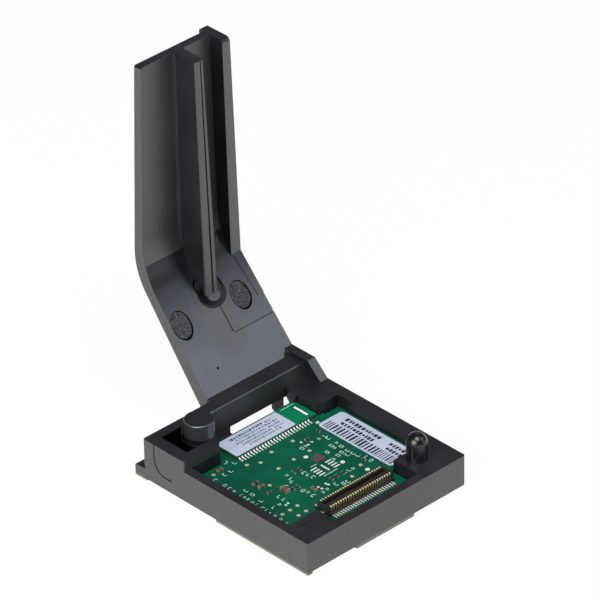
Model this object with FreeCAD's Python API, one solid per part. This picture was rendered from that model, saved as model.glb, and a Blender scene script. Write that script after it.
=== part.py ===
import FreeCAD, Part
import math
import os

os.makedirs("parts", exist_ok=True)

V = FreeCAD.Vector

# Plug-in radio module: a circuit board in a shallow moulded tray with a tall cranked
# handle. Millimetres. x runs across the tray, y from the front wall towards the
# handle, z up from the underside. Every piece is moved at the end so that the
# origin lies at the foot of the locating pin.

# Tray
tray_width = 51.9
tray_depth = 56.2
rim_height = 8.8
tray_corner_radius = 0.6
base_bevel = 0.45
side_wall = 2.5
right_wall = 3.3
back_wall = 4.9
floor_thickness = 1.6
shelf_width = 1.5
core_wall = 2.0
core_roof = 2.2

# Circuit board and the room round it
board_underside = 4.3
board_thickness = 1.2
board_clearance = 0.2
board_back_gap = 2.1

# Solid lands at the corners of the tray
left_land_width = 11.4
left_land_depth = 8.7
right_land_width = 13.5
right_land_depth = 10.6
pad_width = 9.85
pad_depth = 11.4
pad_back_relief = 1.3
pad_corner_radius = 2.6

# Locating pin on the right-hand land
pin_radius = 2.65
pin_height = 7.2
pin_from_right = 9.1
pin_from_front = 7.15

# Tower with its pocket, and the ledge behind it
tower_width = 11.85
tower_depth = 14.1
tower_height = 11.6
tower_left_wall = 3.4
tower_front_wall = 2.4
tower_back_wall = 2.5
tower_right_wall = 1.95
tower_low_wall = 6.8
tower_floor = 1.6
ledge_depth = 3.1
ledge_height = 3.1

# Round post between the tower and the bar
post_radius = 3.75
post_edge_radius = 0.35
post_from_tower = 2.0
post_from_back = 4.7
collar_radius = 4.2
collar_height = 7.5

# Cross bar that carries the handle, and the window beneath it
bar_top = 13.0
bar_edge_radius = 0.4
bar_back_chamfer = 1.3
window_height = 6.0
window_left = 23.7
window_right_wall = 4.7
web_from_right = 10.0
web_width = 2.9
web_thickness = 1.2

# Gusset at the right-hand end of the bar
gusset_thickness = 2.5
gusset_rise = 1.5
gusset_foot_front = 9.5
gusset_lean = 2.7
gusset_edge_inset = 0.1

# Handle: a leaning lower leg, a rounded bend and an upright upper leg
handle_from_right = 16.35
handle_foot_width = 29.4
handle_tip_width = 24.6
handle_tip_height = 94.5
handle_corner_radius = 0.7
handle_lean = 40.8
handle_foot_setback = 0.1
bend_rise = 26.0
bend_radius = 20.5
bend_rear_radius = 17.0
plate_foot_thickness = 3.9
plate_bend_thickness = 2.9
plate_tip_thickness = 2.3

# Stiffening flange down the right-hand edge of the handle
flange_reach = 4.3
flange_back_reach = 1.4
flange_tip_thickness = 2.5
flange_foot_thickness = 3.2
flange_corner_radius = 1.3
edge_strip_height = 0.2
edge_strip_rise = 12.4
edge_strip_low_width = 1.6
edge_strip_high_width = 2.6

# Rib down the middle of the handle
rib_tip_reach = 7.5
rib_foot_reach = 8.8
rib_tip_offset = -0.55
rib_foot_offset = 0.35
rib_tip_width = 2.75
rib_foot_width = 4.1
rib_nose_bevel = 0.35
rib_draft = 0.1
rib_root_flare = 0.45
rib_root_height = 0.8
rib_groove_offset = 0.3
rib_groove_tip_width = 0.3
rib_groove_foot_width = 0.65
rib_groove_depth = 0.3

# Flared foot of the rib on the leaning plate
toe_rise = 17.5
toe_offset = 0.75
toe_radius = 4.2
toe_top_radius = 3.0
toe_height = 0.6
toe_sink = 0.6

# Moulding marks on the handle: round ejector discs and a stepped corner
ejector_radius = 2.9
ejector_depth = 0.2
left_ejector_offset = -11.3
left_ejector_rise = 13.9
right_ejector_offset = 8.05
right_ejector_rise = 13.9
step_line_width = 0.4
step_line_depth = 0.2
step_line_offset = 1.15
step_line_low_rise = 8.5
step_line_high_rise = 14.8

# Round marks on the lands
land_mark_depth = 0.15
left_mark_radius = 2.5
left_mark_inset = 4.3
right_mark_radius = 2.9
right_mark_inset = 3.1
right_mark_from_front = 4.4
pad_mark_radius = 2.7
pad_mark_from_right = 3.9
pad_mark_from_front = 4.4

# Hook over the board's back corner, and the foot under the front wall
hook_overhang = 1.0
hook_gap = 1.1
hook_nose_height = 0.7
hook_rise = 2.0
hook_length = 2.7
window_from_board = 1.0
foot_left = 16.3
foot_length = 18.8
foot_depth = 1.5
foot_inset = 0.35
foot_height = 0.67
side_foot_length = 31.6
side_foot_height = 0.45

# Scribed line on the left face of the tower: down, then round towards the front
scribe_from_back = 3.75
scribe_low = 3.85
scribe_tail = 5.9
scribe_radius = 3.9
scribe_width = 0.45
scribe_depth = 0.25

# Board-to-board connector
contact_pitch = 0.8
contact_width = 0.42
contact_thickness = 0.15
contact_tail = 1.75
contact_tail_height = 0.2
contact_inside_depth = 0.7
connector_left_gap = 3.1
connector_right_gap = 2.0
connector_front_gap = 5.4
connector_depth = 3.8
connector_height = 2.4
connector_end = 0.9
connector_wall = 0.75
connector_base = 0.7
connector_tongue = 0.7
connector_tongue_height = 1.2
tab_length = 1.0
tab_width = 0.9
tab_thickness = 0.3
lip_depth = 0.45
lip_height = 0.8

# Radio module soldered on the board
radio_left_gap = 3.75
radio_right_gap = 0.05
radio_width = 7.7
radio_thickness = 0.8
radio_back_gap = 1.15
radio_antenna_length = 6.6
radio_label_inset = 0.2
label_thickness = 0.1
joint_pitch = 0.945
joint_width = 0.44
joint_reach = 1.4
joint_pad_height = 0.1
joint_fillet = 0.35
joint_first = 0.65
joint_last = 2.8

# Long label on the board
barcode_width = 8.3
barcode_right_gap = 0.7
barcode_front_gap = 1.7
barcode_back_gap = 2.1
barcode_corner_radius = 1.0

# Square chip and its place
controller_side = 2.65
controller_height = 0.6
controller_corner = 0.25
controller_from_left = 26.6
controller_from_front = 24.2

# Chip components: long side, short side, height, and the depth of each end cap
small_chip = (1.15, 0.6, 0.4, 0.25)
medium_chip = (1.7, 0.95, 0.55, 0.35)
large_chip = (2.3, 1.45, 0.9, 0.4)
cap_wrap = 0.04

# Levels and lines that follow from the sizes above
board_top = board_underside + board_thickness
inner_back = tray_depth - back_wall
board_left = side_wall + board_clearance
board_front = side_wall + board_clearance
board_right = tray_width - right_wall - board_clearance
board_back = inner_back - board_back_gap
tower_front = tray_depth - tower_depth
land_right_edge = tray_width - right_land_width
pad_left = tray_width - pad_width
pad_front = inner_back - pad_depth
pad_back = inner_back - pad_back_relief
pin_x = tray_width - pin_from_right
pin_y = pin_from_front
handle_middle = tray_width - handle_from_right
bend_height = bar_top + bend_rise
post_x = tower_width + post_from_tower
post_y = tray_depth - post_from_back
lean = math.radians(handle_lean)
slope = math.tan(lean)
handle_foot_y = tray_depth - handle_foot_setback
plate_front = handle_foot_y + slope * (bend_height - bar_top)


def flat(a, b):
    return V(a, b, 0)


def sideways(a, b):
    return V(0, a, b)


def upright(a, b):
    return V(a, 0, b)


# Closed face through a list of corners; a third number rounds that corner
def face(corners, place):
    count = len(corners)
    spans = []
    for i in range(count):
        here = V(corners[i][0], corners[i][1], 0)
        before = V(corners[i - 1][0], corners[i - 1][1], 0)
        after = V(corners[(i + 1) % count][0], corners[(i + 1) % count][1], 0)
        radius = corners[i][2] if len(corners[i]) > 2 else 0.0
        if radius <= 0:
            spans.append((here, None, here))
            continue
        one = (before - here).normalize()
        two = (after - here).normalize()
        half = one.getAngle(two) / 2
        reach = radius / math.tan(half)
        middle = (one + two).normalize()
        crown = here + middle * (radius / math.sin(half) - radius)
        spans.append((here + one * reach, crown, here + two * reach))
    edges = []
    for i in range(count):
        start, crown, end = spans[i]
        following = spans[(i + 1) % count][0]
        if crown is not None:
            edges.append(Part.Arc(place(start.x, start.y), place(crown.x, crown.y),
                                  place(end.x, end.y)).toShape())
        if end.distanceToPoint(following) > 1e-6:
            edges.append(Part.makeLine(place(end.x, end.y), place(following.x, following.y)))
    return Part.Face(Part.Wire(edges))


def plan(corners, low, high):
    solid = face(corners, flat).extrude(V(0, 0, high - low))
    solid.translate(V(0, 0, low))
    return solid


def across(corners, left, right):
    solid = face(corners, sideways).extrude(V(right - left, 0, 0))
    solid.translate(V(left, 0, 0))
    return solid


def through(corners, front, back):
    solid = face(corners, upright).extrude(V(0, back - front, 0))
    solid.translate(V(0, front, 0))
    return solid


def rectangle(left, front, right, back, radius=0.0):
    return [(left, front, radius), (right, front, radius),
            (right, back, radius), (left, back, radius)]


def disc(x, y, radius, low, high):
    return Part.makeCylinder(radius, high - low, V(x, y, low))


# Outline of the board, grown by a margin; it steps round the lands, pad and tower
def board_outline(grow, back):
    left = board_left - grow
    front = board_front - grow
    right = board_right + grow
    left_land_x = left_land_width + board_clearance - grow
    left_land_y = left_land_depth + board_clearance - grow
    right_land_x = land_right_edge - board_clearance + grow
    right_land_y = right_land_depth + board_clearance - grow
    pad_x = pad_left - board_clearance + grow
    pad_y = pad_front - board_clearance + grow
    tower_x = tower_width + board_clearance - grow
    tower_y = tower_front - board_clearance + grow
    pad_bend = pad_corner_radius + board_clearance - grow
    return [(left_land_x, front), (right_land_x, front), (right_land_x, right_land_y),
            (right, right_land_y), (right, pad_y), (pad_x, pad_y, pad_bend), (pad_x, back),
            (tower_x, back), (tower_x, tower_y), (left, tower_y), (left, left_land_y),
            (left_land_x, left_land_y)]


# Height of the leaning front face of the handle at a given y, and the reverse
def slope_y(height):
    return handle_foot_y + slope * (height - bar_top)


def slope_z(y):
    return bar_top + (y - handle_foot_y) / slope


def handle_half(height):
    share = (height - bar_top) / (handle_tip_height - bar_top)
    return (handle_foot_width + share * (handle_tip_width - handle_foot_width)) / 2


def make_tray():
    body = plan(rectangle(0, 0, tray_width, tray_depth, tray_corner_radius), 0, rim_height)
    low_edges = [edge for edge in body.Edges if edge.BoundBox.ZMax < 1e-6]
    body = body.makeChamfer(base_bevel, low_edges)
    ledge = across([(tray_depth - 1, 0), (tray_depth + ledge_depth, 0),
                    (tray_depth + ledge_depth, ledge_height, 0.4),
                    (tray_depth - 1, ledge_height)], 0, tower_width)
    sunk = floor_thickness / 2
    foot = plan(rectangle(foot_left, foot_inset, foot_left + foot_length, foot_inset + foot_depth),
                -foot_height, sunk)
    side_foot = plan(rectangle(foot_inset, foot_inset, foot_inset + foot_depth, side_foot_length),
                     -side_foot_height, sunk)
    body = body.multiFuse([ledge, foot, side_foot])
    recess = plan(board_outline(board_clearance, inner_back), board_underside, rim_height + 1)
    well = plan(board_outline(-shelf_width, board_back - shelf_width),
                floor_thickness, board_underside + 1)
    return body.cut([recess, well])


def make_tower():
    body = plan(rectangle(0, tower_front, tower_width, tray_depth, 0.4), rim_height / 2,
                tower_height)
    # its back wall runs on behind the post as far as the bar
    back = plan(rectangle(tower_width / 2, tray_depth - tower_back_wall, post_x, tray_depth),
                rim_height / 2, tower_height)
    return body.fuse(back)


def tower_pocket():
    left = tower_left_wall
    right = tower_width - tower_right_wall
    front = tower_front + tower_front_wall
    back = tray_depth - tower_back_wall
    pocket = plan(rectangle(left, front, right, back, 0.6), tower_floor, tower_height + 1)
    gap = plan(rectangle(right - 1, front, tower_width + 1, back), tower_low_wall,
               tower_height + 1)
    return [pocket, gap]


def make_post():
    profile = [(0, floor_thickness / 2), (collar_radius, floor_thickness / 2),
               (collar_radius, collar_height), (post_radius, collar_height),
               (post_radius, bar_top, post_edge_radius), (0, bar_top)]
    post = face(profile, upright).revolve(V(0, 0, 0), V(0, 0, 1), 360)
    post.translate(V(post_x, post_y, 0))
    return post


def make_bar():
    right = tray_width - gusset_thickness
    bar = across([(inner_back, window_height), (tray_depth, window_height),
                  (tray_depth, bar_top), (inner_back, bar_top, bar_edge_radius)],
                 post_x, right)
    # left of the handle its back edge falls away to the height of the tower
    fall = across([(tray_depth - bar_back_chamfer, bar_top), (tray_depth, tower_height),
                   (tray_depth + 1, tower_height), (tray_depth + 1, bar_top + 1),
                   (tray_depth - bar_back_chamfer, bar_top + 1)],
                  post_x - 1, handle_middle - handle_half(bar_top))
    return bar.cut(fall)


# The gusset leans in from the rim to the edge of the handle, its front face sloping
def make_gusset():
    top = bar_top + gusset_rise
    tip_right = handle_middle + handle_half(top)
    rim_right = tray_width - gusset_edge_inset
    rim_front = tray_depth - gusset_foot_front
    tip_back = slope_y(top) + plate_foot_thickness / 4
    # the lower section is taken a little below the rim, so that the two pieces join
    sink = floor_thickness / 2
    share = -sink / (top - rim_height)
    low_right = rim_right + share * (tip_right - rim_right)
    low_front = rim_front + share * gusset_lean
    rings = []
    for right, front, back, height in ((low_right, low_front, tray_depth, rim_height - sink),
                                       (tip_right, rim_front + gusset_lean, tip_back, top)):
        left = right - gusset_thickness
        corners = [V(left, front, height), V(right, front, height),
                   V(right, back, height), V(left, back, height)]
        rings.append(Part.makePolygon(corners + [corners[0]]))
    return Part.makeLoft(rings, True, True)


# Points of the leaning plate seen from the side; the rear face closes in upwards
def plate_lines():
    out_y = math.cos(lean)
    out_z = -math.sin(lean)
    foot = V(handle_foot_y + plate_foot_thickness * out_y,
             bar_top + plate_foot_thickness * out_z, 0)
    near = V(plate_front + plate_bend_thickness * out_y,
             bend_height + plate_bend_thickness * out_z, 0)
    run = (near.x - foot.x) / (near.y - foot.y)
    rear_bend_y = plate_front + plate_bend_thickness
    rear_bend_z = foot.y + (rear_bend_y - foot.x) / run
    start_z = foot.y - (foot.x - tray_depth) / run
    return start_z, rear_bend_y, rear_bend_z


def make_handle():
    start_z, rear_bend_y, rear_bend_z = plate_lines()
    sunk = back_wall / 2
    tip = handle_tip_height
    side = [(handle_foot_y - sunk, slope_z(handle_foot_y - sunk)),
            (tray_depth, start_z),
            (rear_bend_y, rear_bend_z, bend_rear_radius),
            (plate_front + plate_tip_thickness, tip, 0.3),
            (plate_front, tip, 0.3),
            (plate_front, bend_height, bend_radius)]
    blank = across(side, 0, tray_width + handle_foot_width)
    foot_half = handle_half(0)
    tip_half = handle_half(tip)
    shape = [(handle_middle - foot_half, 0), (handle_middle + foot_half, 0),
             (handle_middle + tip_half, tip, handle_corner_radius),
             (handle_middle - tip_half, tip, handle_corner_radius)]
    return blank.common(through(shape, 0, 3 * tray_depth))


def make_flange():
    start_z, rear_bend_y, rear_bend_z = plate_lines()
    tip = handle_tip_height
    front = plate_front - flange_reach
    meet = slope_z(front)
    strip_z = bar_top + edge_strip_rise
    strip_y = slope_y(strip_z)
    lift_y = edge_strip_height * math.cos(lean)
    lift_z = edge_strip_height * math.sin(lean)
    back = plate_front + plate_tip_thickness + flange_back_reach
    proud = back - rear_bend_y
    corner_z = rear_bend_z - proud * math.tan(lean / 2)
    deep = plate_bend_thickness * 0.95
    side = [(front, tip, flange_corner_radius),
            (front, meet + lift_z * 2),
            (strip_y - lift_y, strip_z + lift_z),
            (strip_y + deep * math.cos(lean), strip_z - deep * math.sin(lean)),
            (back, corner_z, bend_rear_radius + proud),
            (back, tip, 0.3)]
    blank = across(side, 0, tray_width + handle_foot_width)
    right_tip = handle_middle + handle_half(tip)
    right_meet = handle_middle + handle_half(meet)
    low = strip_z - deep
    right_low = handle_middle + handle_half(low)
    band = [(right_low - edge_strip_low_width, low), (right_low, low),
            (right_tip, tip), (right_tip - flange_tip_thickness, tip),
            (right_meet - flange_foot_thickness, meet),
            (right_meet - edge_strip_high_width, meet)]
    return blank.common(through(band, 0, 3 * tray_depth))


# Level section through the rib at one height, with the groove down its nose
def rib_section(middle, height, reach, width, groove):
    nose = plate_front - reach
    root = plate_front - rib_root_height
    deep = plate_front + plate_tip_thickness / 2
    half = width / 2
    flank = half + rib_draft
    half_root = half + rib_root_flare
    groove_left = rib_groove_offset - groove / 2
    groove_right = rib_groove_offset + groove / 2
    points = [(-half + rib_nose_bevel, nose), (groove_left, nose),
              (groove_left, nose + rib_groove_depth), (groove_right, nose + rib_groove_depth),
              (groove_right, nose), (half - rib_nose_bevel, nose), (half, nose + rib_nose_bevel),
              (flank, root), (half_root, plate_front), (half_root, deep),
              (-half_root, deep), (-half_root, plate_front), (-flank, root),
              (-half, nose + rib_nose_bevel)]
    ring = [V(middle + x, y, height) for x, y in points]
    return Part.makePolygon(ring + [ring[0]])


def make_rib():
    tip = handle_tip_height
    nose = plate_front - rib_foot_reach
    low = slope_z(nose) - plate_foot_thickness / 2
    blank = Part.makeLoft([rib_section(handle_middle + rib_foot_offset, low, rib_foot_reach,
                                       rib_foot_width, rib_groove_foot_width),
                           rib_section(handle_middle + rib_tip_offset, tip, rib_tip_reach,
                                       rib_tip_width, rib_groove_tip_width)], True, True)
    sink_y = plate_bend_thickness / 2 * math.cos(lean)
    sink_z = plate_bend_thickness / 2 * math.sin(lean)
    keep = across([(nose - 1, tip), (nose - 1, slope_z(nose - 1) - sink_z),
                   (slope_y(bend_height) + sink_y, bend_height - sink_z),
                   (plate_front + plate_tip_thickness / 2, bend_height),
                   (plate_front + plate_tip_thickness / 2, tip)],
                  0, tray_width + handle_foot_width)
    return blank.common(keep)


# Flared foot where the rib's nose runs out on the leaning plate
def make_rib_toe():
    out = V(0, -math.cos(lean), math.sin(lean))
    height = bar_top + toe_rise
    centre = V(handle_middle + toe_offset, slope_y(height), height)
    flare = (toe_radius - toe_top_radius) / toe_height
    return Part.makeCone(toe_radius + flare * toe_sink, toe_top_radius, toe_height + toe_sink,
                         centre - out * toe_sink, out)


def make_pin():
    profile = [(0, rim_height - 1), (pin_radius, rim_height - 1),
               (pin_radius, rim_height + pin_height, pin_radius * 0.98),
               (0, rim_height + pin_height)]
    pin = face(profile, upright).revolve(V(0, 0, 0), V(0, 0, 1), 360)
    pin.translate(V(pin_x, pin_y, 0))
    return pin


# Snap hook on the left side of the pad, over the back corner of the board
def make_hook():
    low = board_top + hook_gap
    nose = pad_left - hook_overhang
    corners = [(pad_left + 0.2, low), (nose, low), (nose, low + hook_nose_height),
               (pad_left + 0.2, low + hook_rise)]
    return through(corners, pad_back - hook_length, pad_back - 0.1)


# Window under the bar, with the thin web that stands in it
def window_cut():
    right = tray_width - window_right_wall
    front = board_back + window_from_board
    web_left = tray_width - web_from_right
    opening = plan(rectangle(window_left, front, right, tray_depth + 1), -1, window_height)
    web = plan(rectangle(web_left, tray_depth - web_thickness, web_left + web_width,
                         tray_depth + 2), -2, window_height + 1)
    return opening.cut(web)


# Cores under the solid lands, so that the walls stay even
def land_cores():
    top = rim_height - core_roof
    middle_rib = core_wall / 2
    cores = [plan(rectangle(core_wall, core_wall, left_land_width - core_wall,
                            left_land_depth - core_wall, 0.5), -1, top)]
    split = pin_x
    for left, right in ((land_right_edge + core_wall, split - middle_rib),
                        (split + middle_rib, tray_width - core_wall)):
        cores.append(plan(rectangle(left, core_wall, right, right_land_depth - core_wall, 0.5),
                          -1, top))
    cores.append(plan(rectangle(pad_left + core_wall, pad_front + core_wall,
                                tray_width - core_wall, pad_back - core_wall, 0.5), -1, top))
    return cores


# Shallow marks: round ones on the lands, discs and a stepped line on the handle
def land_marks():
    top = rim_height
    marks = [disc(left_mark_inset, left_mark_inset, left_mark_radius,
                  top - land_mark_depth, top + 1)]
    marks.append(disc(tray_width - right_mark_inset, right_mark_from_front, right_mark_radius,
                      top - land_mark_depth, top + 1))
    marks.append(disc(tray_width - pad_mark_from_right, pad_front + pad_mark_from_front,
                      pad_mark_radius, top - land_mark_depth, top + 1))
    return marks


# Thin slab just under the leaning face: what is cut out of it has one even depth
def slope_skin(depth):
    deep_y = depth * math.cos(lean)
    deep_z = depth * math.sin(lean)
    return across([(slope_y(bar_top), bar_top), (slope_y(bend_height), bend_height),
                   (slope_y(bend_height) + deep_y, bend_height - deep_z),
                   (slope_y(bar_top) + deep_y, bar_top - deep_z)],
                  0, tray_width + handle_foot_width)


# Ejector pins travel front to back, so they leave stretched discs on the leaning face
def slope_marks():
    discs = []
    for offset, rise in ((left_ejector_offset, left_ejector_rise),
                         (right_ejector_offset, right_ejector_rise)):
        discs.append(Part.makeCylinder(ejector_radius, 2 * tray_depth,
                                       V(handle_middle + offset, 0, bar_top + rise), V(0, 1, 0)))
    half = step_line_width / 2
    low = bar_top + step_line_low_rise
    high = bar_top + step_line_high_rise
    corner_x = handle_middle + step_line_offset
    edge_x = handle_middle + handle_half(low) + 1
    sheet = [(corner_x - half, low - half, 0.6), (edge_x, low - half), (edge_x, low + half),
             (corner_x + half, low + half), (corner_x + half, high), (corner_x - half, high)]
    line = through(sheet, 0, 3 * tray_depth)
    cuts = [mark.common(slope_skin(ejector_depth)) for mark in discs]
    cuts.append(line.common(slope_skin(step_line_depth)))
    return cuts


def scribe_line():
    half = scribe_width / 2
    y = tray_depth - scribe_from_back
    tail = y - scribe_tail
    top = tower_height + 1
    return across([(y + half, top), (y + half, scribe_low - half, scribe_radius + half),
                   (tail, scribe_low - half), (tail, scribe_low + half),
                   (y - half, scribe_low + half, scribe_radius - half), (y - half, top)],
                  -1, scribe_depth)


def make_carrier():
    body = make_tray()
    body = body.fuse(make_tower())
    body = body.cut(tower_pocket())
    pad = plan([(pad_left, pad_front, pad_corner_radius), (tray_width - 1, pad_front),
                (tray_width - 1, pad_back), (pad_left, pad_back)], floor_thickness / 2, rim_height)
    tie = plan(rectangle(pad_left, pad_back - 0.5, tray_width - 1, inner_back + 0.5),
               window_height, rim_height)
    body = body.multiFuse([make_post(), make_bar(), pad, tie, make_hook()])
    body = body.cut([window_cut(), scribe_line()] + land_cores() + land_marks())
    grip = make_handle().multiFuse([make_flange(), make_rib(), make_rib_toe()])
    grip = grip.cut(slope_marks())
    body = body.multiFuse([make_gusset(), make_pin(), grip])
    return body.removeSplitter()


def make_board():
    return clear_of_post(plan(board_outline(0, board_back), board_underside, board_top))


# Connector: a trough with a tongue, its walls wrapped by two rows of contacts
connector_from_left = left_land_width + connector_left_gap
connector_from_front = board_front + connector_front_gap
connector_room = land_right_edge - connector_right_gap - connector_from_left
contact_span = connector_room - 2 * connector_end - contact_width
contact_count = int(contact_span / contact_pitch) + 1
connector_length = contact_pitch * (contact_count - 1) + 2 * connector_end + contact_width
connector_right = connector_from_left + connector_length
connector_back = connector_from_front + connector_depth
first_contact = connector_from_left + connector_end


def make_connector():
    wall_front = connector_from_front + contact_thickness
    wall_back = connector_back - contact_thickness
    wall_top = board_top + connector_height - contact_thickness
    base = board_top + connector_base
    middle = (wall_front + wall_back) / 2
    half = connector_tongue / 2
    trough = across([(wall_front, board_top), (wall_back, board_top), (wall_back, wall_top),
                     (wall_back - connector_wall, wall_top), (wall_back - connector_wall, base),
                     (middle + half, base), (middle + half, base + connector_tongue_height, 0.15),
                     (middle - half, base + connector_tongue_height, 0.15), (middle - half, base),
                     (wall_front + connector_wall, base), (wall_front + connector_wall, wall_top),
                     (wall_front, wall_top)],
                    connector_from_left, connector_right)
    block = connector_end * 0.8
    added = []
    for left in (connector_from_left, connector_right - block):
        added.append(plan(rectangle(left, wall_front, left + block, wall_back), board_top,
                          wall_top))
    # a low lip runs over the foot of each row of contacts and fills the room between them
    for front, back in ((connector_from_front - lip_depth, wall_front),
                        (wall_back, connector_back + lip_depth)):
        added.append(plan(rectangle(connector_from_left, front, connector_right, back),
                          board_top, board_top + lip_height))
    rows = contact_row(False).Solids + contact_row(True).Solids
    return trough.multiFuse(added).cut(rows).removeSplitter()


# One contact seen from the side: tail on the board, up the wall, over and down inside
def contact_profile():
    t = contact_thickness
    face_y = connector_from_front
    top = board_top + connector_height
    inner = face_y + t + connector_wall
    return [(face_y - contact_tail, board_top),
            (face_y + t, board_top),
            (face_y + t, top - t),
            (inner, top - t),
            (inner, top - contact_inside_depth),
            (inner + t, top - contact_inside_depth),
            (inner + t, top),
            (face_y, top),
            (face_y, board_top + contact_tail_height),
            (face_y - contact_tail, board_top + contact_tail_height)]


def contact_row(turned):
    middle = connector_from_front + connector_depth / 2
    profile = contact_profile()
    if turned:
        profile = [(2 * middle - y, z) for y, z in profile]
    row = []
    for i in range(contact_count):
        left = first_contact + i * contact_pitch
        row.append(across(profile, left, left + contact_width))
    return Part.makeCompound(row)


def end_tabs():
    middle = connector_from_front + connector_depth / 2
    tabs = []
    for left in (connector_from_left - tab_length, connector_right):
        tabs.append(plan(rectangle(left, middle - tab_width / 2, left + tab_length,
                                   middle + tab_width / 2, 0.15), board_top,
                         board_top + tab_thickness))
    return Part.makeCompound(tabs)


# Radio module: thin board soldered flat on the main board, its corner clear of the post
radio_left = tower_width + radio_left_gap
radio_right = pad_left - board_clearance - radio_right_gap
radio_back = board_back - radio_back_gap
radio_front = radio_back - radio_width
radio_top = board_top + radio_thickness


def clear_of_post(piece):
    return piece.cut(disc(post_x, post_y, collar_radius + board_clearance,
                          board_underside - 1, bar_top))


def make_radio():
    return clear_of_post(plan(rectangle(radio_left, radio_front, radio_right, radio_back),
                              board_top, radio_top))


def make_radio_label():
    inset = radio_label_inset
    return clear_of_post(plan(rectangle(radio_left + inset, radio_front + inset,
                                        radio_right - radio_antenna_length,
                                        radio_back - inset, 0.5),
                              radio_top, radio_top + label_thickness))


def make_joints():
    row = []
    span = radio_right - radio_left - joint_first - joint_last
    for i in range(int(span / joint_pitch) + 1):
        left = radio_left + joint_first + i * joint_pitch - joint_width / 2
        pad_top = board_top + joint_pad_height
        row.append(across([(radio_front - joint_reach, board_top), (radio_front, board_top),
                           (radio_front, radio_top - joint_fillet),
                           (radio_front - joint_fillet, pad_top),
                           (radio_front - joint_reach, pad_top)],
                          left, left + joint_width))
    return Part.makeCompound(row)


# The long label fills the strip between the right-hand land and the pad
barcode_right = board_right - barcode_right_gap
barcode_left = barcode_right - barcode_width


def make_barcode():
    front = right_land_depth + board_clearance + barcode_front_gap
    back = pad_front - board_clearance - barcode_back_gap
    return plan(rectangle(barcode_left, front, barcode_right, back, barcode_corner_radius),
                board_top, board_top + label_thickness)


def make_controller():
    half = controller_side / 2
    x = board_left + controller_from_left
    y = board_front + controller_from_front
    return plan([(x - half, y - half), (x + half, y - half), (x + half, y + half),
                 (x - half + controller_corner, y + half), (x - half, y + half - controller_corner)],
                board_top, board_top + controller_height)


# A chip component: ceramic body between two slightly larger metal end caps
def chip(x, y, size, along_x):
    length, width, height, cap = size
    half = length / 2
    side = width / 2
    body = Part.makeBox(length, width - 2 * cap_wrap, height - cap_wrap,
                        V(x - half, y - side + cap_wrap, board_top))
    caps = [Part.makeBox(cap, width, height, V(x - half, y - side, board_top)),
            Part.makeBox(cap, width, height, V(x + half - cap, y - side, board_top))]
    whole = body.multiFuse(caps).removeSplitter()
    if not along_x:
        whole.rotate(V(x, y, 0), V(0, 0, 1), 90)
    return whole


# Chip components: name, x, y, size, and whether the long side lies along x. Those next
# to the label, the radio module or the tower are placed from it.
near_label = barcode_left - 2.2
near_radio = radio_front - joint_reach - 3.85
chips = [
    ("capacitor_a", board_left + 9.0, board_front + 27.2, medium_chip, True),
    ("capacitor_b", board_left + 9.05, board_front + 25.3, medium_chip, True),
    ("capacitor_c", board_left + 8.75, board_front + 22.2, small_chip, True),
    ("capacitor_d", board_left + 12.0, board_front + 20.2, large_chip, False),
    ("capacitor_e", board_left + 13.8, board_front + 19.2, small_chip, False),
    ("capacitor_f", board_left + 15.4, board_front + 19.2, small_chip, False),
    ("capacitor_g", board_left + 18.5, board_front + 24.1, small_chip, False),
    ("resistor_a", board_left + 20.6, board_front + 24.1, small_chip, False),
    ("capacitor_h", board_left + 17.2, board_front + 15.7, medium_chip, False),
    ("resistor_b", board_left + 23.0, board_front + 15.8, small_chip, False),
    ("resistor_c", board_left + 24.8, board_front + 15.8, small_chip, False),
    ("resistor_d", board_left + 26.7, board_front + 15.7, small_chip, False),
    ("resistor_e", near_label - 0.4, board_front + 16.2, small_chip, False),
    ("resistor_f", near_label + 0.4, near_radio + 0.25, small_chip, False),
    ("capacitor_i", near_label - 4.0, near_radio - 0.25, small_chip, True),
    ("capacitor_j", tower_width - 2.25, tower_front - 2.2, medium_chip, True),
]

pieces = {
    "carrier": make_carrier(),
    "circuit_board": make_board(),
    "connector_housing": make_connector(),
    "connector_contacts_front": contact_row(False),
    "connector_contacts_back": contact_row(True),
    "connector_end_tabs": end_tabs(),
    "radio_module_board": make_radio(),
    "radio_label": make_radio_label(),
    "radio_solder_joints": make_joints(),
    "barcode_label": make_barcode(),
    "controller_chip": make_controller(),
}
for name, x, y, size, along_x in chips:
    pieces[name] = chip(x, y, size, along_x)

origin = V(pin_x, pin_y, rim_height)
for name, piece in pieces.items():
    moved = piece.copy()
    moved.translate(origin * -1)
    moved.exportStep("parts/" + name + ".step")
    print(name, len(moved.Solids), moved.isValid(), round(moved.Volume, 2))
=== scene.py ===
import bpy
import bmesh
import math
import random
from mathutils import Matrix, Vector


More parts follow.
